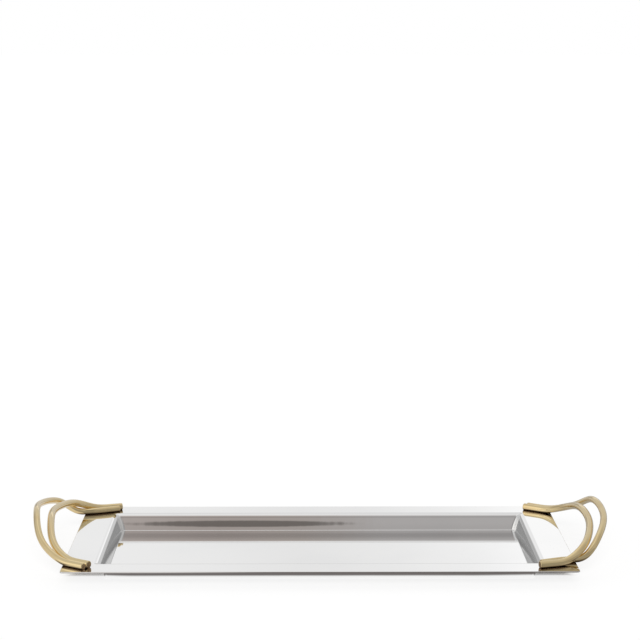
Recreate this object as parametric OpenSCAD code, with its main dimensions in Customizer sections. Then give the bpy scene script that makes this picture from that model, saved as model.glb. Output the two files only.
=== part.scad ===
// Serving tray: a pressed sheet tray with a wide flat flange and, at each end, a handle of two bent
// round rods. Millimetres, +Z up, +X along the tray. The origin is the middle of the underside.

/* [Tray] */
// Length over the flange
tray_l = 470; // [400:1:560]
// Width over the flange
tray_w = 255; // [225:1:320]
// Width of the flat part of the flange
flange_w = 27.5; // [24:0.5:36]
// Depth of the well, from the flange to the floor
well_depth = 15.5; // [12:0.5:24]
// Sheet thickness
sheet = 1.2; // [0.8:0.1:1.6]
// Radius of the bend from the flange into the wall
rim_r = 7; // [5:0.5:9]
// Slope at which that bend ends, from the flat
rim_slope = 64; // [58:1:68]
// Slope at which the wall meets the floor bend
wall_slope = 76; // [72:1:82]
// Radius of the bend from the wall into the floor
floor_r = 1.5; // [1:0.25:3]
// Plan radius of the floor's corners
floor_corner_r = 1.5; // [1:0.25:6]
// Plan radius of the flange's corners
flange_corner_r = 3; // [1:0.5:10]

/* [Handle rods] */
// Diameter of the outer rod
outer_d = 6.4; // [5.5:0.1:7.5]
// Diameter of the inner rod
inner_d = 7; // [6:0.1:8]
// Chamfer at the rod ends
rod_chamfer = 0.7; // [0.3:0.1:1.2]
// Length of foot that lies straight and level
foot_l = 14; // [12:0.5:16]
// Screw axis from the end of the foot
screw_from_end = 7; // [5:0.5:8]
// Depth of the flat under each foot
seat_cut = 0.5; // [0.4:0.1:0.8]
// Paired feet: their angle to the tray's length
pair_angle = 36; // [30:1:42]
// Paired feet: gap between the two rods
pair_gap = 0.5; // [0.3:0.1:2]

/* [Outer rod] */
// Paired foot: its end, inwards from the tray's end
outer_pair_in = 21; // [17:0.5:24]
// Paired foot: its end, outwards from the flange's inner edge
outer_pair_edge = 18.5; // [16:0.5:20]
// Knee over the paired foot: out from the tray's end
outer_knee_out = 26.5; // [24:0.5:30]
// Knee over the paired foot: inwards from the tray's side
outer_knee_side = 55.5; // [50:0.5:62]
// Knee over the paired foot: above the flange
outer_knee_up = 14.5; // [12:0.5:18]
// Crest, paired half: out from the tray's end
outer_reach_pair = 32.5; // [30:0.5:38]
// Crest, paired half: from the middle
outer_crest_pair = 30; // [22:1:36]
// Crest, paired half: above the flange
outer_rise_pair = 34.5; // [30:0.5:42]
// Crest, crossing half: out from the tray's end
outer_reach_cross = 38.5; // [36:0.5:44]
// Crest, crossing half: from the middle
outer_crest_cross = 25; // [18:1:32]
// Crest, crossing half: above the flange
outer_rise_cross = 28; // [25:0.5:34]
// Shoulder over the crossing: out from the tray's end
outer_shoulder_out = 23.5; // [21:0.5:28]
// Shoulder over the crossing: inwards from the tray's side
outer_shoulder_side = 47; // [42:0.5:52]
// Shoulder over the crossing: above the flange
outer_shoulder_up = 20.5; // [18:0.5:24]
// Drop under the crossing: out from the tray's end
outer_drop_out = 10; // [8:0.5:13]
// Drop under the crossing: inwards from the crossing foot's end
outer_drop_side = 14.5; // [12:0.5:17]
// Drop under the crossing: below the foot
outer_drop_dip = 0.7; // [0:0.1:0.9]
// Crossing foot: its end, inwards from the tray's end
outer_cross_in = 33.5; // [30:0.5:38]
// Crossing foot: its end, outwards from the flange's inner edge
outer_cross_edge = 8; // [7:0.5:11]
// Crossing foot: its angle to the tray's length
outer_cross_angle = 25; // [20:1:29]

/* [Inner rod] */
// Knee over the paired foot: out from the tray's end
inner_knee_out = 14.5; // [11:0.5:17]
// Knee over the paired foot: inwards from the tray's side
inner_knee_side = 55.5; // [50:0.5:62]
// Knee over the paired foot: above the flange
inner_knee_up = 13; // [10:0.5:16]
// Crest, paired half: out from the tray's end
inner_reach_pair = 19.5; // [16:0.5:22]
// Crest, paired half: from the middle
inner_crest_pair = 27; // [20:1:34]
// Crest, paired half: above the flange
inner_rise_pair = 25.5; // [22:0.5:30]
// Crest, crossing half: out from the tray's end
inner_reach_cross = 23.5; // [20:0.5:26]
// Crest, crossing half: from the middle
inner_crest_cross = 20; // [14:1:28]
// Crest, crossing half: above the flange
inner_rise_cross = 22.5; // [20:0.5:26]
// Shoulder over the crossing: out from the tray's end
inner_shoulder_out = 17; // [14:0.5:19]
// Shoulder over the crossing: inwards from the tray's side
inner_shoulder_side = 65.5; // [60:0.5:70]
// Shoulder over the crossing: above the flange
inner_shoulder_up = 18.5; // [16:0.5:22]
// Drop over the crossing: out from the tray's end
inner_drop_out = 8.5; // [7:0.5:11]
// Drop over the crossing: inwards from the crossing foot's end
inner_drop_side = 24; // [21:0.5:27]
// Drop over the crossing: above the surface of the outer rod's drop
cross_lift = 4.9; // [4:0.1:7]
// Crossing foot: gap left to the outer rod's foot, across the tray
cross_gap = 1.1; // [0.8:0.1:3]
// Crossing foot: its end, inwards from the tray's end
inner_cross_in = 35.5; // [32:0.5:40]
// Crossing foot: its angle to the tray's length
inner_cross_angle = 18; // [14:1:20]

/* [Fastenings] */
// Screw diameter
screw_d = 3; // [2.5:0.1:3.5]
// Length of screw above the flange
screw_bite = 4; // [3:0.1:4.2]
// Screw head diameter
head_d = 5.6; // [5:0.1:6.2]
// Screw head height
head_h = 2; // [1.5:0.1:2.6]
// Width across the flats of the head's socket
socket_w = 2; // [1.5:0.1:2.4]
// Depth of the head's socket
socket_h = 1.1; // [0.6:0.1:1.3]
// Washer diameter
washer_d = 6.8; // [6:0.1:7.5]
// Washer thickness
washer_t = 0.5; // [0.4:0.1:1]
// Clearance on diameter round the screw, in the rods and washers
screw_fit = 0.2; // [0.1:0.05:0.4]
// Clearance on diameter round the screw, in the flange
flange_fit = 0.4; // [0.2:0.05:0.8]
// Space left past the tip of a screw
tip_space = 0.4; // [0.2:0.1:0.6]

/* [Hidden] */
$fn = 64;
rim_steps = 8;
wall_steps = 3;
floor_steps = 4;
rod_sides = 20;
span_steps = 7;
head_chamfer = 0.5;
tip_chamfer = 0.4;
plan_step = 0.1;
lap = 0.5;
over = 1;

// Tray heights and section
rim_z = well_depth + sheet;
wall_fall = well_depth - rim_r * (1 - cos(rim_slope)) - floor_r * (1 - cos(wall_slope));
wall_r = wall_fall / (cos(rim_slope) - cos(wall_slope));
function lean(t) = [sin(t), cos(t)];
rim_c = [0, rim_z - rim_r];
wall_c = rim_c + (rim_r - wall_r) * lean(rim_slope);
floor_c = wall_c + (wall_r + floor_r) * lean(wall_slope);
// The floor plate starts on a short flat stretch, on a tenth of a millimetre
well_inset = plan_step * (ceil(floor_c[0] / plan_step) + 1);
open_l = tray_l - 2 * flange_w;
open_w = tray_w - 2 * flange_w;
open_r = floor_corner_r + well_inset;

// Points of an arc round c, from slope a to slope b
function arc(c, r, a, b, n) = [for (i = [0 : n]) c + r * lean(a + (b - a) * i / n)];
function after_first(v) = [for (i = [1 : len(v) - 1]) v[i]];
function reversed(v) = [for (i = [len(v) - 1 : -1 : 0]) v[i]];
// The sheet's face at depth t under its top face: rim bend, wall and floor bend, with a lap on the flat
// sheet at both ends
function face_at(t) = concat(
  [[-lap, rim_z - t]],
  arc(rim_c, rim_r - t, 0, rim_slope, rim_steps),
  after_first(arc(wall_c, wall_r - t, rim_slope, wall_slope, wall_steps)),
  after_first(arc(floor_c, -floor_r - t, wall_slope, 0, floor_steps)),
  [[well_inset + lap, sheet - t]]);

// Heights of the rod axes above the flange, along the feet
outer_foot = outer_d / 2 - seat_cut;
inner_foot = inner_d / 2 - seat_cut;
rods_apart = (outer_d + inner_d) / 2;
bore_d = screw_d + screw_fit;

// Feet that follow from their neighbours
outer_pair_side = flange_w - outer_pair_edge;
inner_pair_in = outer_pair_in + (rods_apart + pair_gap) * sin(pair_angle);
inner_pair_side = outer_pair_side + (rods_apart + pair_gap) * cos(pair_angle);
outer_cross_side = flange_w - outer_cross_edge;
inner_cross_side = outer_cross_side - rods_apart - cross_gap;
outer_drop_up = outer_foot - outer_drop_dip;
inner_drop_up = outer_drop_up + rods_apart + cross_lift;

// A point of the left handle: out from the tray's end, along that end, above the flange
function at(out, along, up) = [-tray_l / 2 - out, along, rim_z + up];
// Points along a foot, s from its end, on the paired and on the crossing side
function pair_foot(in, side, angle, s, up) =
  at(s * cos(angle) - in, side - tray_w / 2 + s * sin(angle), up);
function cross_foot(in, side, angle, s, up) =
  at(s * cos(angle) - in, tray_w / 2 - side - s * sin(angle), up);

function outer_pair(s) = pair_foot(outer_pair_in, outer_pair_side, pair_angle, s, outer_foot);
function outer_cross(s) = cross_foot(outer_cross_in, outer_cross_side, outer_cross_angle, s, outer_foot);
function inner_pair(s) = pair_foot(inner_pair_in, inner_pair_side, pair_angle, s, inner_foot);
function inner_cross(s) = cross_foot(inner_cross_in, inner_cross_side, inner_cross_angle, s, inner_foot);

// Bend points, from the paired foot over the crest to the crossing foot
outer_bends = [
  outer_pair(0),
  outer_pair(foot_l),
  outer_pair(2 * foot_l),
  at(outer_knee_out, outer_knee_side - tray_w / 2, outer_knee_up),
  at(outer_reach_pair, -outer_crest_pair, outer_rise_pair),
  at(outer_reach_cross, outer_crest_cross, outer_rise_cross),
  at(outer_shoulder_out, tray_w / 2 - outer_shoulder_side, outer_shoulder_up),
  at(outer_drop_out, tray_w / 2 - outer_cross_side - outer_drop_side, outer_drop_up),
  outer_cross(2 * foot_l),
  outer_cross(foot_l),
  outer_cross(0)
];
inner_bends = [
  inner_pair(0),
  inner_pair(foot_l),
  inner_pair(2 * foot_l),
  at(inner_knee_out, inner_knee_side - tray_w / 2, inner_knee_up),
  at(inner_reach_pair, -inner_crest_pair, inner_rise_pair),
  at(inner_reach_cross, inner_crest_cross, inner_rise_cross),
  at(inner_shoulder_out, tray_w / 2 - inner_shoulder_side, inner_shoulder_up),
  at(inner_drop_out, tray_w / 2 - inner_cross_side - inner_drop_side, inner_drop_up),
  inner_cross(2 * foot_l),
  inner_cross(foot_l),
  inner_cross(0)
];

// Screw places of the left handle
outer_screws = [outer_pair(screw_from_end), outer_cross(screw_from_end)];
inner_screws = [inner_pair(screw_from_end), inner_cross(screw_from_end)];
all_screws = concat(outer_screws, inner_screws);

// Smooth curve near the bend points: it runs straight along both feet and ends at their ends
function unit(v) = v / norm(v);
function bend(p, i) =
  i < 0 ? 2 * p[0] - p[1] : i >= len(p) ? 2 * p[len(p) - 1] - p[len(p) - 2] : p[i];
function curve(p, i, t) =
  (pow(1 - t, 3) * bend(p, i - 1)
    + (3 * pow(t, 3) - 6 * pow(t, 2) + 4) * p[i]
    + (-3 * pow(t, 3) + 3 * pow(t, 2) + 3 * t + 1) * bend(p, i + 1)
    + pow(t, 3) * bend(p, i + 2)) / 6;
function chamfered(p) = p[0] + rod_chamfer * unit(p[1] - p[0]);
function centres(p) = concat(
  [p[0], chamfered(p)],
  [for (i = [1 : len(p) - 3]) for (k = [0 : span_steps - 1]) curve(p, i, k / span_steps)],
  [p[len(p) - 2], chamfered(reversed(p)), p[len(p) - 1]]);

// Rings of a rod's skin round the centres, smaller by the chamfer at both ends
function heading(c, i) = unit(c[min(i + 1, len(c) - 1)] - c[max(i - 1, 0)]);
function ring(c, i, rod_d) =
  let (
    d = heading(c, i),
    x = unit(cross([0, 0, 1], d)),
    y = cross(d, x),
    r = rod_d / 2 - (i == 0 || i == len(c) - 1 ? rod_chamfer : 0)
  )
  [for (k = [0 : rod_sides - 1]) c[i] + r * (x * cos(k * 360 / rod_sides) + y * sin(k * 360 / rod_sides))];

module rod_skin(p, rod_d) {
  c = centres(p);
  n = rod_sides;
  rings = [for (i = [0 : len(c) - 1]) each ring(c, i, rod_d)];
  sides = [
    for (i = [0 : len(c) - 2]) for (k = [0 : n - 1])
      let (a = i * n + k, b = i * n + (k + 1) % n)
      each [[a, a + n, b], [b, a + n, b + n]]
  ];
  first = [for (k = [0 : n - 1]) k];
  last = [for (k = [n - 1 : -1 : 0]) (len(c) - 1) * n + k];
  polyhedron(points = rings, faces = concat([first], sides, [last]), convexity = 6);
}

// A rod, cut flat where it lies on the flange, with a blind bore at each screw
module bent_rod(p, rod_d, screws) {
  color("goldenrod") difference() {
    rod_skin(p, rod_d);
    translate([-tray_l, -tray_w / 2, rim_z - rod_d]) cube([tray_l, tray_w, rod_d]);
    for (place = screws) translate([place[0], place[1], rim_z - over])
      cylinder(d = bore_d, h = over + screw_bite + tip_space);
  }
}

module outer_rod() {
  bent_rod(outer_bends, outer_d, outer_screws);
}

module inner_rod() {
  bent_rod(inner_bends, inner_d, inner_screws);
}

// The right handle is the left one turned half round
module right() {
  rotate([0, 0, 180]) children();
}

// Children at each screw place of both handles, from height z
module at_screws(places, z) {
  for (turned = [0, 180]) rotate([0, 0, turned])
    for (p = places) translate([p[0], p[1], z]) children();
}

module rounded(l, w, r) {
  square([l - 2 * r, w], center = true);
  square([l, w - 2 * r], center = true);
  for (i = [-1, 1]) for (j = [-1, 1])
    translate([i * (l / 2 - r), j * (w / 2 - r)]) circle(r = r);
}

// The bent part of the sheet, from the flange at distance off down to the floor
module section(off) {
  translate([off, 0]) mirror([1, 0]) polygon(concat(face_at(0), reversed(face_at(sheet))));
}

module wall(run, off) {
  rotate([90, 0, 0]) translate([0, 0, -run / 2]) linear_extrude(run) section(off);
}

module flange() {
  translate([0, 0, rim_z - sheet]) linear_extrude(sheet) difference() {
    rounded(tray_l, tray_w, flange_corner_r);
    rounded(open_l, open_w, open_r);
    at_screws(all_screws, 0) circle(d = screw_d + flange_fit);
  }
}

module tray_body() {
  color("silver") {
    flange();
    linear_extrude(sheet) rounded(open_l - 2 * well_inset, open_w - 2 * well_inset, floor_corner_r);
    for (turned = [0, 180]) rotate([0, 0, turned]) {
      wall(open_w - 2 * open_r, open_l / 2);
      rotate([0, 0, 90]) wall(open_l - 2 * open_r, open_w / 2);
      translate([open_l / 2 - open_r, open_w / 2 - open_r, 0])
        rotate_extrude(angle = 90) section(open_r);
      translate([open_r - open_l / 2, open_w / 2 - open_r, 0]) rotate([0, 0, 90])
        rotate_extrude(angle = 90) section(open_r);
    }
  }
}

module left_outer_rod() {
  outer_rod();
}

module left_inner_rod() {
  inner_rod();
}

module right_outer_rod() {
  right() outer_rod();
}

module right_inner_rod() {
  right() inner_rod();
}

module washers() {
  color("gray") at_screws(all_screws, rim_z - sheet - washer_t) difference() {
    cylinder(d = washer_d, h = washer_t);
    translate([0, 0, -over]) cylinder(d = bore_d, h = washer_t + 2 * over);
  }
}

module screw() {
  shank_h = washer_t + sheet + screw_bite;
  difference() {
    rotate_extrude() polygon([
      [0, -head_h],
      [head_d / 2 - head_chamfer, -head_h],
      [head_d / 2, head_chamfer - head_h],
      [head_d / 2, 0],
      [screw_d / 2, 0],
      [screw_d / 2, shank_h - tip_chamfer],
      [screw_d / 2 - tip_chamfer, shank_h],
      [0, shank_h]
    ]);
    translate([0, 0, -head_h - over]) cylinder(d = socket_w / cos(30), h = socket_h + over, $fn = 6);
  }
}

module screws() {
  color("dimgray") at_screws(all_screws, rim_z - sheet - washer_t) screw();
}

tray_body();
left_outer_rod();
left_inner_rod();
right_outer_rod();
right_inner_rod();
washers();
screws();
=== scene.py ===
"""Serving tray of mirror-polished sheet, with a handle of two bent brass rods at each end."""
import math

import bpy
from mathutils import Matrix, Vector
from mathutils.geometry import delaunay_2d_cdt


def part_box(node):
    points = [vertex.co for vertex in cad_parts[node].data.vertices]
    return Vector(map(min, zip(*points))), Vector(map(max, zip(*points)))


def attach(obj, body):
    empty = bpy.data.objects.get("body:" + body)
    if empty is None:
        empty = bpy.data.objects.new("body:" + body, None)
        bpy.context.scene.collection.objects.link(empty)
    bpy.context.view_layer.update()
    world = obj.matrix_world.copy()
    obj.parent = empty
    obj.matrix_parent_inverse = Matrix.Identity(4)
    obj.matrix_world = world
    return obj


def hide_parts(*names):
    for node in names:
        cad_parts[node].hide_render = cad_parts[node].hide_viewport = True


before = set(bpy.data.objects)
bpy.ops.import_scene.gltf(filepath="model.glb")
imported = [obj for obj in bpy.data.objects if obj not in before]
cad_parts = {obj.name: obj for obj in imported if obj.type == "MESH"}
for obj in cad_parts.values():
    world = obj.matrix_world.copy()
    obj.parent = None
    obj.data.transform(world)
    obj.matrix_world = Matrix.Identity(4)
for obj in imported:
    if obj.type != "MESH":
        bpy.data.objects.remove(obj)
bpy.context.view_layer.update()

MM = 0.001

# Tray: outline and height come from the frame. The section is written out, with its slopes in degrees
HALF_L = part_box("tray_body")[1][0]
HALF_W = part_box("tray_body")[1][1]
RIM_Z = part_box("tray_body")[1][2]
SHEET = 1.2 * MM
FLANGE_W = 27.5 * MM
FLANGE_CORNER_R = 3 * MM
FLANGE_EDGE_R = 0.35 * MM
RIM_R = 7 * MM
RIM_SLOPE = 64
WALL_SLOPE = 76
FLOOR_R = 0.7 * MM
WELL_CORNER_R = 3 * MM
FLAT_LEAD = 0.1 * MM
WELL_CORNER_STEPS = 24
FLANGE_CORNER_STEPS = 12
HOLE_STEPS = 24

# Handle rods, in millimetres and degrees: diameters, rounded ends, mesh, and the feet on the flange
OUTER_D = 6.4
INNER_D = 7
ROD_FIT = 0.04
ROD_END_R = 0.7
ROD_SIDES = 40
SPAN_STEPS = 20
FOOT_L = 14
SCREW_FROM_END = 7
SEAT_CUT = 0.5
OUTER_FOOT = OUTER_D / 2 - SEAT_CUT
INNER_FOOT = INNER_D / 2 - SEAT_CUT
RODS_APART = (OUTER_D + INNER_D) / 2
PAIR_ANGLE = 36
PAIR_GAP = 0.5
PAIR_IN = 21
PAIR_SIDE = 9
CROSS_SIDE = 19.5
CROSS_GAP = 1.1
OUTER_CROSS_IN = 33.5
OUTER_CROSS_ANGLE = 25
INNER_CROSS_IN = 35.5
INNER_CROSS_ANGLE = 18

# Fastenings
SCREW_D = 3 * MM
BORE_D = 3.2 * MM
FLANGE_HOLE_D = 3.4 * MM
WASHER_D = 6.8 * MM
WASHER_T = 0.5 * MM
HEAD_D = 5.6 * MM
HEAD_H = 2 * MM
HEAD_DOME = 1 * MM
SOCKET_W = 2 * MM
SOCKET_H = 1.1 * MM
SCREW_BITE = 4 * MM
TIP_EDGE = 0.4 * MM
PIN_R = 0.01 * MM
SMALL_EDGE = 0.12 * MM
TURN_STEPS = 48
SHARP_ANGLE = 40

# Finish: heights where the wall's waves set in and die out, where the duller end walls start, and heights
# over which the painted shade on a rod ends, a dark brown painted contact shadow where its feet lie on
# the flange
WAVES_IN = (SHEET + 0.5 * MM, SHEET + 3 * MM)
WAVES_OUT = (RIM_Z - 3 * MM, RIM_Z)
END_WALL_X = (HALF_L - FLANGE_W - 12 * MM, HALF_L - FLANGE_W - 11 * MM)
PAINTED_SHADE_OUT = (RIM_Z + 0.8 * MM, RIM_Z + 2.8 * MM)

# The table top that the metal mirrors. Its tones under the tray, in front, to the left and to the right
TABLE_UNDER = (0.98, 0.98, 0.98)
TABLE_FRONT = (0.165, 0.15, 0.145)
TABLE_LEFT = (0.74, 0.72, 0.70)
TABLE_RIGHT = (0.40, 0.39, 0.38)
# Where they change, as pairs of places between which one tone passes into the next
LEFT_TO_RIGHT_X = (-0.3, 0.3)
FRONT_NEAR_Y = (-0.16, -0.14)
FRONT_RIGHT_X = (-0.16, -0.03)
FRONT_ENDS_X = (0.26, 0.32)
FRONT_BACK_Y = (-0.084, -0.081)
# The field under the tray: a rectangle, and the distance round it over which its tone ends
UNDER_HALF_L = 194 * MM
UNDER_HALF_W = 87 * MM
UNDER_EDGE = (6 * MM, 8.6 * MM)
# It is wider at both ends, so that the dark line under the front flange is thinner there
WIDER_LEFT = 1.6 * MM
WIDER_LEFT_X = (-0.23, -0.17)
WIDER_RIGHT = 0.9 * MM
WIDER_RIGHT_X = (0.14, 0.22)

# The surroundings that the metal mirrors. Their tones change with a direction's x, from -1 at the left to
# 1 at the right, and with its angle over the top in degrees, from 0 at the back to 180 in front.
# The back, low down and high up, as rows of stops from 0 at the left to 1 at the right
BACK_LOW = [
    (0, 0.6), (0.1, 0.44), (0.17, 0.38), (0.23, 0.46), (0.3, 0.6), (0.4, 0.68), (0.5, 0.64),
    (0.62, 0.66), (0.7, 0.62), (0.8, 0.58), (1, 0.55)]
BACK_HIGH = [
    (0, 0.74), (0.12, 0.66), (0.3, 0.6), (0.4, 0.64), (0.45, 0.84), (0.54, 0.78), (0.6, 0.62),
    (0.7, 0.58), (0.78, 0.5), (1, 0.44)]
BACK_LOW_TO_HIGH = (24, 50)
# Its bright middle, which the level faces mirror
MIDDLE = [
    (0.4, 0.74), (0.445, 0.88), (0.475, 0.86), (0.5, 0.82), (0.525, 0.86), (0.54, 0.91), (0.555, 1),
    (0.575, 1), (0.6, 0.76)]
MIDDLE_FROM = (11.5, 12.8)
MIDDLE_TO = (16, 20)
MIDDLE_TO_X = (0.13, 0.2)
# Low down beside the middle, where the end walls look
BESIDE_LEFT = (0.42, 0.42, 0.42)
BESIDE_RIGHT = (0.62, 0.62, 0.62)
BESIDE_TURN_X = (-0.1, 0.1)
BESIDE_FROM_X = (0.13, 0.16)
BESIDE_TO_X = (0.27, 0.34)
BESIDE_TO = (11, 13)
# The front: a row of stops over the top, from 0 at the back to 1 in front, times a row from left to right
BACK_TO_FRONT = (90, 101)
FRONT_OVER = [
    (0.56, 0.54), (0.6, 0.48), (0.64, 0.4), (0.69, 0.3), (0.72, 0.3), (0.745, 0.36), (0.78, 0.4),
    (0.85, 0.4), (0.9, 0.38), (1, 0.4)]
FRONT_ACROSS = [
    (0, 0.85), (0.25, 0.85), (0.34, 0.8), (0.42, 0.8), (0.445, (1.08, 0.97, 0.92)),
    (0.48, (0.94, 0.83, 0.78)), (0.5, (0.94, 0.85, 0.8)), (0.52, (1.04, 1, 0.99)),
    (0.57, (1.04, 1.01, 1)), (0.59, 0.78), (0.66, 0.78), (0.75, 0.84), (1, 0.86)]
# In it a bright panel far left, a grey one high on the right, and a dark streak
BRIGHT_PANEL = (1, 0.98, 0.95)
BRIGHT_PANEL_TO_X = (-0.72, -0.5)
GREY_PANEL = (0.5, 0.49, 0.48)
GREY_PANEL_FROM_X = (0.3, 0.4)
GREY_PANEL_TO = (128, 142)
STREAK = (0.04, 0.035, 0.03)
STREAK_SHARE = 0.65
STREAK_OVER = 153.5
STREAK_X = -0.03
STREAK_HALF_H = 8
STREAK_HALF_W = 0.06
STREAK_EDGE = (0.4, 1)

# Floor and lamp. The floor is lifted towards white outside the tray's shadow
FLOOR_HALF = 40
FLOOR_LIFT = 0.8
SHADOW_END_X = (0.225, 0.24)
SHADOW_END_Y = (0.074, 0.082)
LAMP_STRENGTH = 4.3
LAMP_SPREAD = 30
LAMP_TILT = 66

# Camera: place in the tray's frame, turns in degrees, focal length and sensor in millimetres, and reach
CAMERA_AT = (-0.0163, -1.9169, 0.5001)
CAMERA_TILT = 8.083
CAMERA_YAW = -0.511
CAMERA_ROLL = 0.037
CAMERA_LENS = 114.78
SENSOR_W = 36
CAMERA_REACH = 50


def cos(degrees):
    return math.cos(math.radians(degrees))


def sin(degrees):
    return math.sin(math.radians(degrees))


def foot(end_in, end_side, angle, s, up, crossing):
    """A point of a left foot, s millimetres from its end, on the paired or on the crossing side."""
    out = s * cos(angle) - end_in
    side = end_side + s * sin(angle)
    along = HALF_W - side * MM
    return Vector((-HALF_L - out * MM, along if crossing else -along, RIM_Z + up * MM))


def bend(out, along, up):
    """A bend point of the left handle, in millimetres from the tray's end, the middle and the flange."""
    return Vector((-HALF_L - out * MM, along * MM, RIM_Z + up * MM))


# The four feet of the left handle, at s millimetres from a foot's end
def outer_pair(s):
    return foot(PAIR_IN, PAIR_SIDE, PAIR_ANGLE, s, OUTER_FOOT, False)


def outer_cross(s):
    return foot(OUTER_CROSS_IN, CROSS_SIDE, OUTER_CROSS_ANGLE, s, OUTER_FOOT, True)


def inner_pair(s):
    step = RODS_APART + PAIR_GAP
    end_in = PAIR_IN + step * sin(PAIR_ANGLE)
    end_side = PAIR_SIDE + step * cos(PAIR_ANGLE)
    return foot(end_in, end_side, PAIR_ANGLE, s, INNER_FOOT, False)


def inner_cross(s):
    end_side = CROSS_SIDE - RODS_APART - CROSS_GAP
    return foot(INNER_CROSS_IN, end_side, INNER_CROSS_ANGLE, s, INNER_FOOT, True)


# Bends between the feet: knee, crest of the paired half, crest of the crossing half, shoulder and drop
OUTER_ARCH = [
    bend(26.5, -72, 14.5),
    bend(32.5, -30, 34.5),
    bend(38.5, 25, 28),
    bend(23.5, 80.5, 20.5),
    bend(10, 93.5, 2)]
INNER_ARCH = [
    bend(14.5, -72, 13),
    bend(19.5, -27, 25.5),
    bend(23.5, 20, 22.5),
    bend(17, 62, 18.5),
    bend(8.5, 91.8, 13.6)]


def bends(pair, arch, cross):
    """All bend points of a rod, from its paired foot to its crossing foot."""
    first = [pair(k * FOOT_L) for k in range(3)]
    last = [cross(k * FOOT_L) for k in range(2, -1, -1)]
    return first + arch + last


def half_turn(points):
    """The same points on the right handle."""
    return [Vector((-p.x, -p.y, p.z)) for p in points]


class Graph:
    """A node tree that is written as calls: node() adds one node and returns its outputs."""

    def __init__(self, tree):
        self.tree = tree
        tree.nodes.clear()

    def node(self, kind, settings=None, inputs=None):
        made = self.tree.nodes.new(kind)
        for name, value in (settings or {}).items():
            if name == "stops":
                set_stops(made.color_ramp, value)
            else:
                setattr(made, name, value)
        for key, value in (inputs or {}).items():
            if isinstance(value, Socket):
                self.tree.links.new(value.socket, made.inputs[key])
            else:
                made.inputs[key].default_value = value
        return [Socket(self, s) for s in made.outputs]


class Socket:
    """An output socket. Arithmetic on it adds Math nodes to its graph."""

    def __init__(self, graph, socket):
        self.graph = graph
        self.socket = socket

    def math(self, operation, *terms):
        return self.graph.node("ShaderNodeMath", {"operation": operation}, dict(enumerate(terms)))[0]

    def __add__(self, other):
        return self.math("ADD", self, other)

    def __radd__(self, other):
        return self.math("ADD", other, self)

    def __sub__(self, other):
        return self.math("SUBTRACT", self, other)

    def __rsub__(self, other):
        return self.math("SUBTRACT", other, self)

    def __mul__(self, other):
        return self.math("MULTIPLY", self, other)

    def __rmul__(self, other):
        return self.math("MULTIPLY", other, self)


def set_stops(ramp, stops):
    """Gives a colour ramp its stops, as pairs of position and grey value or colour."""
    while len(ramp.elements) > 1:
        ramp.elements.remove(ramp.elements[-1])
    for i, (position, value) in enumerate(stops):
        element = ramp.elements[0] if i == 0 else ramp.elements.new(position)
        element.position = position
        element.color = (*value, 1) if isinstance(value, tuple) else (value, value, value, 1)


def new_material(name):
    """A material with an empty node graph."""
    material = bpy.data.materials.new(name)
    material.use_nodes = True
    return material, Graph(material.node_tree)


def noise(graph, scale, detail):
    """Noise on the piece's own coordinates."""
    where = graph.node("ShaderNodeTexCoord")[3]
    return graph.node("ShaderNodeTexNoise", None, {"Vector": where, "Scale": scale, "Detail": detail})[0]


def between(graph, value, low, high):
    """0 below low, 1 above high and a smooth step between them."""
    limits = {"Value": value, "From Min": low, "From Max": high}
    return graph.node("ShaderNodeMapRange", {"interpolation_type": "SMOOTHSTEP"}, limits)[0]


def mixed(graph, factor, first, second, blend="MIX"):
    """A colour between two colours, or their product. A colour is a socket or three numbers."""
    inputs = {0: factor, 6: opaque(first), 7: opaque(second)}
    return graph.node("ShaderNodeMix", {"data_type": "RGBA", "blend_type": blend}, inputs)[2]


def opaque(colour):
    return colour if isinstance(colour, Socket) else (*colour, 1)


def ramp(graph, place, stops):
    """A colour from a row of stops."""
    return graph.node("ShaderNodeValToRGB", {"stops": stops}, {"Fac": place})[0]


def coordinates(graph):
    """The piece's own x, y and z."""
    return graph.node("ShaderNodeSeparateXYZ", None, {"Vector": graph.node("ShaderNodeTexCoord")[3]})


def finish_metal(graph, colour, roughness, height, depth):
    """Joins colour, roughness and a shallow relief to a bare metal surface."""
    normal = graph.node("ShaderNodeBump", None, {"Height": height, "Strength": 1, "Distance": depth})[0]
    surface = graph.node("ShaderNodeBsdfPrincipled", None, {
        "Base Color": colour, "Roughness": roughness, "Normal": normal, "Metallic": 1})[0]
    graph.node("ShaderNodeOutputMaterial", None, {"Surface": surface})


def polished_sheet():
    """Mirror-polished sheet with a faint wiping haze, slightly wavy walls and duller end walls."""
    material, graph = new_material("polished_sheet")
    haze = between(graph, noise(graph, 9, 4), 0.42, 0.75)
    grain = noise(graph, 900, 2)
    x, _, z = coordinates(graph)
    wall = between(graph, z, *WAVES_IN) * (1 - between(graph, z, *WAVES_OUT))
    end_wall = wall * between(graph, x.math("ABSOLUTE", x), *END_WALL_X)
    colour = mixed(graph, haze, (0.93, 0.928, 0.925), (0.90, 0.90, 0.90))
    roughness = 0.025 + haze * 0.02 + grain * 0.01 + end_wall * 0.09
    relief = grain * 0.04 + noise(graph, 70, 1) * wall * 0.7
    finish_metal(graph, colour, roughness, relief, 0.05 * MM)
    return material


def champagne_brass():
    """Pale polished brass, duller in patches, with painted shade where a foot lies on the flange."""
    material, graph = new_material("champagne_brass")
    dull = between(graph, noise(graph, 60, 5), 0.4, 0.7)
    grain = noise(graph, 1500, 3)
    bright = mixed(graph, dull, (0.89, 0.72, 0.41), (0.85, 0.66, 0.36))
    # Painted shade: below these heights the colour turns dark brown, a painted contact shadow at the feet
    clear = between(graph, coordinates(graph)[2], *PAINTED_SHADE_OUT)
    colour = mixed(graph, clear, (0.11, 0.06, 0.028), bright)
    finish_metal(graph, colour, 0.06 + dull * 0.04 + grain * 0.02, grain, 0.003 * MM)
    return material


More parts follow.
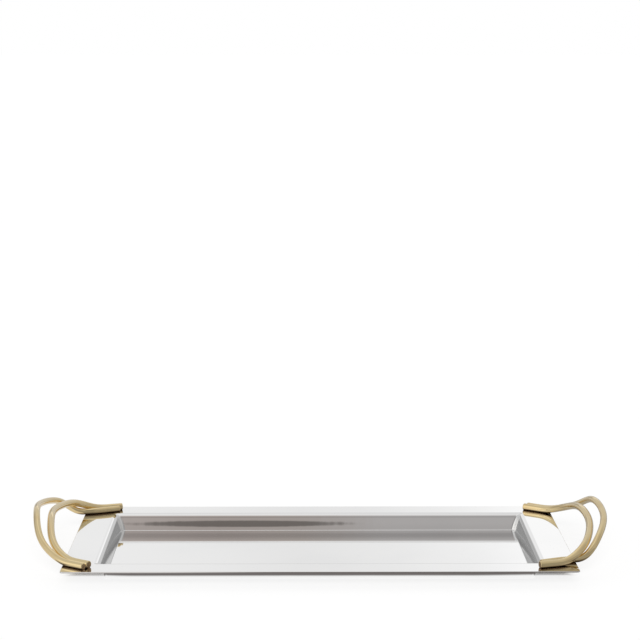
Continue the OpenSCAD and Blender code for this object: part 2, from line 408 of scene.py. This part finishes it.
def cut_brass():
    """The sawn ends of the rods, dull and brown."""
    material, graph = new_material("cut_brass")
    dull = between(graph, noise(graph, 900, 4), 0.35, 0.65)
    grain = noise(graph, 3000, 3)
    colour = mixed(graph, dull, (0.44, 0.30, 0.16), (0.24, 0.15, 0.08))
    finish_metal(graph, colour, 0.32 + dull * 0.1, grain, 0.01 * MM)
    return material


def satin_steel():
    """Plain turned steel of the fastenings."""
    material, graph = new_material("satin_steel")
    dull = between(graph, noise(graph, 250, 4), 0.4, 0.65)
    grain = noise(graph, 2500, 2)
    colour = mixed(graph, dull, (0.60, 0.60, 0.59), (0.50, 0.50, 0.49))
    finish_metal(graph, colour, 0.28 + dull * 0.08 + grain * 0.06, grain, 0.004 * MM)
    return material


STEEL = polished_sheet()
BRASS = champagne_brass()
CUT_BRASS = cut_brass()
SATIN = satin_steel()


def add_object(name, mesh):
    """A new object at the origin."""
    made = bpy.data.objects.new(name, mesh)
    bpy.context.scene.collection.objects.link(made)
    return made


def join_frame(piece, slot, *nodes):
    """Lets a piece stand for its nodes and stay with the tray."""
    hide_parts(*nodes)
    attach(piece, "root")


def section(depth):
    """The bent sheet's face at a depth below its top: inset, height and slope of each point."""
    rim_steps, wall_steps, floor_steps = 20, 10, 8
    fall = RIM_Z - SHEET - RIM_R * (1 - cos(RIM_SLOPE)) - FLOOR_R * (1 - cos(WALL_SLOPE))
    wall_r = fall / (cos(RIM_SLOPE) - cos(WALL_SLOPE))
    rim_c = Vector((0, RIM_Z - RIM_R))
    wall_c = rim_c + (RIM_R - wall_r) * lean(RIM_SLOPE)
    floor_c = wall_c + (wall_r + FLOOR_R) * lean(WALL_SLOPE)
    points = arc(rim_c, RIM_R - depth, 0, RIM_SLOPE, rim_steps)
    points += arc(wall_c, wall_r - depth, RIM_SLOPE, WALL_SLOPE, wall_steps)[1:]
    points += arc(floor_c, -FLOOR_R - depth, WALL_SLOPE, 0, floor_steps)[1:]
    edge = FLAT_LEAD * (math.ceil(floor_c.x / FLAT_LEAD) + 1)
    return points + [(edge, SHEET - depth, 0)]


def lean(slope):
    """The direction that stands square on a face of that slope, towards the well."""
    return Vector((sin(slope), cos(slope)))


def arc(centre, radius, first, last, steps):
    """Points round a centre, from one slope to another."""
    slopes = [first + (last - first) * i / steps for i in range(steps + 1)]
    return [(*(centre + radius * lean(s)), s) for s in slopes]


def rounded(half_l, half_w, radius, steps):
    """A rounded rectangle in plan, as pairs of point and outward direction."""
    points = []
    for corner, (sx, sy) in enumerate([(1, 1), (-1, 1), (-1, -1), (1, -1)]):
        centre = Vector((sx * (half_l - radius), sy * (half_w - radius)))
        for i in range(steps + 1):
            angle = 90 * (corner + i / steps)
            outward = Vector((cos(angle), sin(angle)))
            points.append((centre + radius * outward, outward))
    return points


def circle(centre, radius, steps):
    """A circle in plan, as pairs of point and outward direction."""
    turns = [Vector((cos(360 * i / steps), sin(360 * i / steps))) for i in range(steps)]
    return [(centre + radius * t, t) for t in turns]


class Shell:
    """Collects the rings and faces of a closed mesh, with the exact normal at each face corner."""

    def __init__(self):
        self.points = []
        self.faces = []
        self.normals = []

    def ring(self, loop, height):
        first = len(self.points)
        self.points += [(p.x, p.y, height) for p, _ in loop]
        return list(range(first, len(self.points)))

    def face(self, corners, normals):
        self.faces.append(corners)
        self.normals += normals

    def flat(self, corners, up):
        self.face(corners if up > 0 else corners[::-1], [(0, 0, up)] * len(corners))

    def band(self, a, b, a_normals, b_normals):
        """Faces between two rings. Ring b lies on the left of ring a's way round, seen from outside."""
        for i in range(len(a)):
            j = (i + 1) % len(a)
            corners = [a[i], a[j], b[j], b[i]]
            self.face(corners, [a_normals[i], a_normals[j], b_normals[j], b_normals[i]])

    def mesh(self, name, material):
        made = bpy.data.meshes.new(name)
        made.from_pydata(self.points, [], self.faces)
        made.shade_smooth()
        made.normals_split_custom_set(self.normals)
        made.materials.append(material)
        return made


def tilted(loop, sideways, up):
    """Normals along a loop: a share of its outward direction and a share of up."""
    return [(sideways * o.x, sideways * o.y, up) for _, o in loop]


def mitred(loop, sideways, up):
    """Normals along a loop that moves straight in as it goes down, so that its corners lean more."""
    leaning = [(o, up * (abs(o.x) + abs(o.y))) for _, o in loop]
    return [Vector((sideways * o.x, sideways * o.y, rise)).normalized() for o, rise in leaning]


def flange_triangles(outline, opening, holes):
    """Splits the flange, which lies between its outline, the well's opening and the screw holes."""
    loops = [outline, opening, *holes]
    points = [p for loop in loops for p, _ in loop]
    edges = []
    first = 0
    for loop in loops:
        n = len(loop)
        edges += [(first + i, first + (i + 1) % n) for i in range(n)]
        first += n
    same_place = 1e-9
    found, _, triangles, sources, _, _ = delaunay_2d_cdt(points, edges, [], 0, same_place)
    kept = []
    for t in triangles:
        middle = (found[t[0]] + found[t[1]] + found[t[2]]) / 3
        if on_flange(middle, opening, holes):
            kept.append([sources[i][0] for i in t])
    return kept


def on_flange(point, opening, holes):
    """True where a point lies outside the well's opening and every hole."""
    return not any(inside(point, loop) for loop in [opening, *holes])


def inside(point, loop):
    """True where a point lies inside a loop that bulges outwards all round."""
    return all((point - p).dot(outward) < 0 for p, outward in loop)


def tray_sheet(screw_places):
    """The tray: flange with its screw holes, rounded outer edge, and the well's two faces and floor."""
    shell = Shell()
    opening = rounded(HALF_L - FLANGE_W, HALF_W - FLANGE_W, WELL_CORNER_R, WELL_CORNER_STEPS)
    e = FLANGE_EDGE_R
    outline = rounded(HALF_L - e, HALF_W - e, FLANGE_CORNER_R - e, FLANGE_CORNER_STEPS)
    holes = [circle(p.to_2d(), FLANGE_HOLE_D / 2, HOLE_STEPS) for p in screw_places]
    triangles = flange_triangles(outline, opening, holes)
    faces = []
    for height, up in ((RIM_Z, 1), (RIM_Z - SHEET, -1)):
        first = len(shell.points)
        rings = [shell.ring(loop, height) for loop in (outline, opening, *holes)]
        for t in triangles:
            shell.flat([first + i for i in t], up)
        faces.append(rings)
    top, under = faces
    flange_edge(shell, outline, top[0], under[0])
    for hole, a, b in zip(holes, top[2:], under[2:]):
        normals = tilted(hole, -1, 0)
        shell.band(a, b, normals, normals)
    well_face(shell, top[1], 0)
    well_face(shell, under[1], SHEET)
    tray = add_object("tray_sheet", shell.mesh("tray_sheet", STEEL))
    join_frame(tray, "polished_steel", "tray_body")


def flange_edge(shell, outline, top, under):
    """The flange's rounded outer edge, from its top ring to its under ring."""
    steps = 4
    last = top
    last_normals = tilted(outline, 0, 1)
    for i in range(1, 2 * steps + 2):
        upper = i <= steps
        turn = 90 * (i if upper else i - 1) / steps
        height = RIM_Z - FLANGE_EDGE_R if upper else RIM_Z - SHEET + FLANGE_EDGE_R
        loop = [(p + FLANGE_EDGE_R * sin(turn) * o, o) for p, o in outline]
        done = i == 2 * steps + 1
        ring = under if done else shell.ring(loop, height + FLANGE_EDGE_R * cos(turn))
        normals = tilted(outline, sin(turn), cos(turn))
        shell.band(ring, last, normals, last_normals)
        last, last_normals = ring, normals


def well_face(shell, start, depth):
    """One face of the bent sheet, from the flange's opening down to the flat floor."""
    up = 1 if depth == 0 else -1
    last = start
    last_normals = None
    for inset, height, slope in section(depth):
        edge = FLANGE_W + inset
        corner_r = WELL_CORNER_R + depth * sin(slope)
        loop = rounded(HALF_L - edge, HALF_W - edge, corner_r, WELL_CORNER_STEPS)
        normals = mitred(loop, -up * sin(slope), up * cos(slope))
        if last_normals:
            ring = shell.ring(loop, height)
            if up > 0:
                shell.band(last, ring, last_normals, normals)
            else:
                shell.band(ring, last, normals, last_normals)
            last = ring
        last_normals = normals
    shell.flat(last, up)


def smooth_route(points, steps):
    """A smooth curve near the bend points, straight along both feet, with so many steps to a span."""
    padded = [2 * points[0] - points[1], *points, 2 * points[-1] - points[-2]]
    route = []
    for a, b, c, d in zip(padded, padded[1:], padded[2:], padded[3:]):
        for k in range(steps):
            t = k / steps
            weights = (
                (1 - t) ** 3, 3 * t ** 3 - 6 * t ** 2 + 4, -3 * t ** 3 + 3 * t ** 2 + 3 * t + 1, t ** 3)
            route.append(sum((w * p for w, p in zip(weights, (a, b, c, d))), Vector()) / 6)
    return route + [points[-1]]


def with_ends(route):
    """The route with close points over the rounding at both ends, in place of its own points there."""
    steps = 5
    ease = [ROD_END_R * MM * (1 - cos(90 * k / steps)) for k in range(steps + 1)]
    start = [route[0].lerp(route[1], e / (route[1] - route[0]).length) for e in ease]
    end = [route[-1].lerp(route[-2], e / (route[-2] - route[-1]).length) for e in reversed(ease)]
    clear = 1.5 * ROD_END_R * MM
    middle = [p for p in route if min((p - route[0]).length, (p - route[-1]).length) > clear]
    return start + middle + end


def node_tree(name, inputs):
    """An empty geometry tree with named inputs, its graph and the sockets of those inputs."""
    tree = bpy.data.node_groups.new(name, "GeometryNodeTree")
    tree.interface.new_socket("Geometry", in_out="INPUT", socket_type="NodeSocketGeometry")
    for label, kind in inputs.items():
        tree.interface.new_socket(label, in_out="INPUT", socket_type=kind)
    tree.interface.new_socket("Geometry", in_out="OUTPUT", socket_type="NodeSocketGeometry")
    graph = Graph(tree)
    sockets = graph.node("NodeGroupInput")
    return graph, dict(zip(["Geometry", *inputs], sockets))


def bent_rod_tree():
    """Sweeps a circle along a line of edges, drawn in at both ends to round them."""
    graph, given = node_tree("bent_rod", {
        "Radius": "NodeSocketFloat", "End Radius": "NodeSocketFloat", "Sides": "NodeSocketInt",
        "Material": "NodeSocketMaterial"})
    line = graph.node("GeometryNodeMeshToCurve", None, {"Mesh": given["Geometry"]})[0]
    length = graph.node("GeometryNodeSplineLength")[0]
    along = graph.node("GeometryNodeSplineParameter")[1]
    to_end = along.math("MINIMUM", along, length - along)
    short = along.math("MAXIMUM", given["End Radius"] - to_end, 0.0)
    fall = along.math("DIVIDE", short, given["End Radius"])
    drawn = (1 - along.math("SQRT", 1 - fall * fall)) * given["End Radius"]
    share = 1 - along.math("DIVIDE", drawn, given["Radius"])
    circle_line = graph.node("GeometryNodeCurvePrimitiveCircle", None, {
        "Resolution": given["Sides"], "Radius": given["Radius"]})[0]
    skin = graph.node("GeometryNodeCurveToMesh", None, {
        "Curve": line, "Profile Curve": circle_line, "Scale": share, "Fill Caps": True})[0]
    return end_tree(graph, skin, given["Material"])


def repeat_tree():
    """Puts one fastening at every point."""
    graph, given = node_tree("repeat_fastening", {
        "Fastening": "NodeSocketObject", "Material": "NodeSocketMaterial"})
    shape = graph.node("GeometryNodeObjectInfo", None, {"Object": given["Fastening"]})[4]
    copies = graph.node("GeometryNodeInstanceOnPoints", None, {
        "Points": given["Geometry"], "Instance": shape})[0]
    return end_tree(graph, copies, given["Material"])


def end_tree(graph, geometry, material):
    """Makes real geometry of the result and gives it its material."""
    real = graph.node("GeometryNodeRealizeInstances", None, {"Geometry": geometry})[0]
    dressed = graph.node("GeometryNodeSetMaterial", None, {"Geometry": real, "Material": material})[0]
    graph.node("NodeGroupOutput", None, {"Geometry": dressed})
    return graph.tree


def grow(name, points, edges, tree, values):
    """Runs a geometry tree on points and edges, and keeps its result as a plain mesh."""
    source = bpy.data.meshes.new(name)
    source.from_pydata(points, edges, [])
    piece = add_object(name, source)
    modifier = piece.modifiers.new("grow", "NODES")
    modifier.node_group = tree
    for item in tree.interface.items_tree:
        if item.in_out == "INPUT" and item.name in values:
            modifier[item.identifier] = values[item.name]
    depsgraph = bpy.context.evaluated_depsgraph_get()
    mesh = bpy.data.meshes.new_from_object(piece.evaluated_get(depsgraph))
    piece.modifiers.remove(modifier)
    piece.data = mesh
    mesh.name = name
    mesh.shade_smooth()
    mesh.set_sharp_from_angle(angle=math.radians(SHARP_ANGLE))
    return piece


def seat_feet(mesh):
    """Presses a rod's underside flat where it lies on the flange."""
    for vertex in mesh.vertices:
        vertex.co.z = max(vertex.co.z, RIM_Z)


def cut_ends(mesh):
    """Gives the two end faces of a rod, its only ones with more than four corners, their own finish."""
    mesh.materials.append(CUT_BRASS)
    for polygon in mesh.polygons:
        polygon.material_index = 1 if len(polygon.vertices) > 4 else 0


def handle_rods(rod_tree):
    """The four bent rods."""
    outer = bends(outer_pair, OUTER_ARCH, outer_cross)
    inner = bends(inner_pair, INNER_ARCH, inner_cross)
    for name, points, width in (("outer_rod", outer, OUTER_D), ("inner_rod", inner, INNER_D)):
        for hand, turned in (("left", list), ("right", half_turn)):
            route = with_ends(smooth_route(turned(points), SPAN_STEPS))
            edges = [(i, i + 1) for i in range(len(route) - 1)]
            values = {
                "Radius": (width - ROD_FIT) / 2 * MM, "End Radius": ROD_END_R * MM, "Sides": ROD_SIDES,
                "Material": BRASS}
            rod = grow(f"bent_{hand}_{name}", route, edges, rod_tree, values)
            seat_feet(rod.data)
            cut_ends(rod.data)
            join_frame(rod, "brass", f"{hand}_{name}")


def turned_shape(name, rings):
    """A closed round shape from rings of height and radius. A radius may change with the angle."""
    points = []
    for height, radius in rings:
        for i in range(TURN_STEPS):
            angle = 360 * i / TURN_STEPS
            r = radius(angle) if callable(radius) else radius
            points.append((r * cos(angle), r * sin(angle), height))
    faces = []
    count = len(rings)
    for k in range(count):
        for i in range(TURN_STEPS):
            j = (i + 1) % TURN_STEPS
            a, b = k * TURN_STEPS, (k + 1) % count * TURN_STEPS
            faces.append((a + i, a + j, b + j, b + i))
    mesh = bpy.data.meshes.new(name)
    mesh.from_pydata(points, [], faces)
    return mesh


def tube_rings(height, outer_d, inner_d):
    """Rings of a short tube with its edges broken, from its foot round the outside and back inside."""
    e = SMALL_EDGE
    return [
        (0, outer_d / 2 - e), (e, outer_d / 2), (height - e, outer_d / 2), (height, outer_d / 2 - e),
        (height, inner_d / 2 + e), (height - e, inner_d / 2), (e, inner_d / 2), (0, inner_d / 2 + e)]


def hexagon(across):
    """The radius of a hexagon at an angle, from its width across the flats."""
    return lambda angle: across / 2 / cos(angle % 60 - 30)


def screw_rings():
    """Rings of a round-headed screw, from the bottom of its socket to its tip. The head is below zero."""
    steps = 6
    shank = WASHER_T + SHEET + SCREW_BITE
    rings = [(SOCKET_H - HEAD_H, PIN_R), (SOCKET_H - HEAD_H, hexagon(SOCKET_W))]
    rings += [(-HEAD_H + SMALL_EDGE, hexagon(SOCKET_W)), (-HEAD_H, hexagon(SOCKET_W + 2 * SMALL_EDGE))]
    for k in range(steps + 1):
        turn = 90 * k / steps
        rings.append((-HEAD_H + HEAD_DOME * (1 - cos(turn)), HEAD_D / 2 - HEAD_DOME * (1 - sin(turn))))
    rings += [(-SMALL_EDGE, HEAD_D / 2), (0, HEAD_D / 2 - SMALL_EDGE), (0, SCREW_D / 2)]
    rings += [(shank - TIP_EDGE, SCREW_D / 2), (shank, SCREW_D / 2 - TIP_EDGE), (shank, PIN_R)]
    return rings


def fastenings(tree, places):
    """Washers and screws below the flange."""
    below = RIM_Z - SHEET - WASHER_T
    points = [(p.x, p.y, below) for p in places]
    sets = [
        ("flange_washers", "washers", tube_rings(WASHER_T, WASHER_D, BORE_D)),
        ("handle_screws", "screws", screw_rings())]
    for name, node, rings in sets:
        shape = add_object(name + "_shape", turned_shape(name + "_shape", rings))
        piece = grow(name, points, [], tree, {"Fastening": shape, "Material": SATIN})
        bpy.data.objects.remove(shape)
        join_frame(piece, "plain_steel", node)


def mirrored_table(graph, x, y):
    """The floor's tone as the metal sees it: a table top, bright under the tray and dark in front."""
    wide = x.math("ABSOLUTE", x)
    deep = y.math("ABSOLUTE", y)
    table = mixed(graph, between(graph, x, *LEFT_TO_RIGHT_X), TABLE_LEFT, TABLE_RIGHT)
    near_or_right = x.math("MAXIMUM", between(graph, y, *FRONT_NEAR_Y), between(graph, x, *FRONT_RIGHT_X))
    front = (1 - between(graph, wide, *FRONT_ENDS_X)) * (1 - between(graph, y, *FRONT_BACK_Y))
    table = mixed(graph, front * near_or_right, table, TABLE_FRONT)
    left = 1 - between(graph, x, *WIDER_LEFT_X)
    right = between(graph, x, *WIDER_RIGHT_X)
    wider = left * WIDER_LEFT + right * WIDER_RIGHT
    off_end = x.math("MAXIMUM", wide - UNDER_HALF_L, 0)
    off_side = x.math("MAXIMUM", deep - wider - UNDER_HALF_W, 0)
    off = x.math("SQRT", off_end * off_end + off_side * off_side)
    return mixed(graph, between(graph, off, *UNDER_EDGE), TABLE_UNDER, table)


def studio_floor():
    """A wide white floor that keeps the shadow under the tray. The metal mirrors a table top instead."""
    mesh = bpy.data.meshes.new("floor")
    far = FLOOR_HALF
    mesh.from_pydata([(-far, -far, 0), (far, -far, 0), (far, far, 0), (-far, far, 0)], [], [(0, 1, 2, 3)])
    material, graph = new_material("white_floor")
    shade = between(graph, noise(graph, 2, 2), 0.2, 0.8)
    white = mixed(graph, shade, (0.93, 0.93, 0.93), (0.95, 0.95, 0.95))
    plain = graph.node("ShaderNodeBsdfDiffuse", None, {"Color": white})[0]
    glow = graph.node("ShaderNodeEmission", None, {"Color": (1, 1, 1, 1), "Strength": 1})[0]
    x, y, _ = coordinates(graph)
    off_end = between(graph, x.math("ABSOLUTE", x), *SHADOW_END_X)
    off_side = between(graph, y.math("ABSOLUTE", y), *SHADOW_END_Y)
    open_floor = x.math("MAXIMUM", off_end, off_side)
    lifted = graph.node("ShaderNodeMixShader", None, {0: open_floor * FLOOR_LIFT, 1: plain, 2: glow})[0]
    table = mirrored_table(graph, x, y)
    mirrored = graph.node("ShaderNodeEmission", None, {"Color": table, "Strength": 1})[0]
    in_metal = graph.node("ShaderNodeLightPath")[3]
    surface = graph.node("ShaderNodeMixShader", None, {0: in_metal, 1: lifted, 2: mirrored})[0]
    graph.node("ShaderNodeOutputMaterial", None, {"Surface": surface})
    mesh.materials.append(material)
    add_object("floor", mesh)


def light_behind(graph, x, over_top):
    """The surroundings behind the tray: grey, brightest in the middle."""
    across = x * 0.5 + 0.5
    off_middle = x.math("ABSOLUTE", x)
    low = ramp(graph, across, BACK_LOW)
    high = ramp(graph, across, BACK_HIGH)
    light = mixed(graph, between(graph, over_top, *BACK_LOW_TO_HIGH), low, high)
    level = between(graph, over_top, *MIDDLE_FROM) * (1 - between(graph, over_top, *MIDDLE_TO))
    middle = level * (1 - between(graph, off_middle, *MIDDLE_TO_X))
    light = mixed(graph, middle, light, ramp(graph, across, MIDDLE))
    beside = between(graph, off_middle, *BESIDE_FROM_X) * (1 - between(graph, off_middle, *BESIDE_TO_X))
    grey = mixed(graph, between(graph, x, *BESIDE_TURN_X), BESIDE_LEFT, BESIDE_RIGHT)
    return mixed(graph, beside * (1 - between(graph, over_top, *BESIDE_TO)), light, grey)


def light_before(graph, x, over_top):
    """The surroundings in front of the tray: warm grey with two panels and a dark streak."""
    over = ramp(graph, over_top * (1 / 180), FRONT_OVER)
    across = ramp(graph, x * 0.5 + 0.5, FRONT_ACROSS)
    light = mixed(graph, 1.0, over, across, "MULTIPLY")
    light = mixed(graph, 1 - between(graph, x, *BRIGHT_PANEL_TO_X), light, BRIGHT_PANEL)
    high_right = between(graph, x, *GREY_PANEL_FROM_X) * (1 - between(graph, over_top, *GREY_PANEL_TO))
    light = mixed(graph, high_right, light, GREY_PANEL)
    high = (over_top - STREAK_OVER) * (1 / STREAK_HALF_H)
    wide = (x - STREAK_X) * (1 / STREAK_HALF_W)
    streak = 1 - between(graph, high * high + wide * wide, *STREAK_EDGE)
    return mixed(graph, streak * STREAK_SHARE, light, STREAK)


def studio_world():
    """Soft surroundings for the metal to mirror. The camera itself sees white past the floor."""
    world = bpy.data.worlds.new("studio")
    world.use_nodes = True
    bpy.context.scene.world = world
    graph = Graph(world.node_tree)
    way = graph.node("ShaderNodeTexCoord")[0]
    x, y, z = graph.node("ShaderNodeSeparateXYZ", None, {"Vector": way})
    over_top = z.math("ARCTAN2", z, y) * (180 / math.pi)
    in_front = between(graph, over_top, *BACK_TO_FRONT)
    lit = mixed(graph, in_front, light_behind(graph, x, over_top), light_before(graph, x, over_top))
    seen = graph.node("ShaderNodeLightPath")[0]
    shown = mixed(graph, seen, lit, (1, 1, 1))
    light = graph.node("ShaderNodeBackground", None, {"Color": shown, "Strength": 1})[0]
    graph.node("ShaderNodeOutputWorld", None, {"Surface": light})


def soft_lamp():
    """A soft light from the front and above that whitens the floor and is not mirrored in the metal."""
    light = bpy.data.lights.new("overhead", "SUN")
    light.energy = LAMP_STRENGTH
    light.angle = math.radians(LAMP_SPREAD)
    lamp = add_object("overhead", light)
    lamp.rotation_euler = (math.radians(LAMP_TILT), 0, 0)
    lamp.visible_glossy = False


def photo_camera():
    """The camera at the photograph's viewing angle."""
    data = bpy.data.cameras.new("camera")
    data.sensor_width = SENSOR_W
    data.lens = CAMERA_LENS
    data.clip_end = CAMERA_REACH
    camera = add_object("camera", data)
    turn = Matrix.Rotation(math.radians(CAMERA_YAW), 4, "Z")
    tilt = Matrix.Rotation(math.radians(90 - CAMERA_TILT), 4, "X")
    roll = Matrix.Rotation(math.radians(CAMERA_ROLL), 4, "Z")
    camera.matrix_world = Matrix.Translation(CAMERA_AT) @ turn @ tilt @ roll
    bpy.context.scene.camera = camera


def main():
    screws = [foot_at(SCREW_FROM_END) for foot_at in (outer_pair, outer_cross, inner_pair, inner_cross)]
    screws += half_turn(screws)
    tray_sheet(screws)
    handle_rods(bent_rod_tree())
    fastenings(repeat_tree(), screws)
    studio_floor()
    studio_world()
    soft_lamp()
    photo_camera()
    bpy.context.scene.view_settings.view_transform = "Standard"


main()
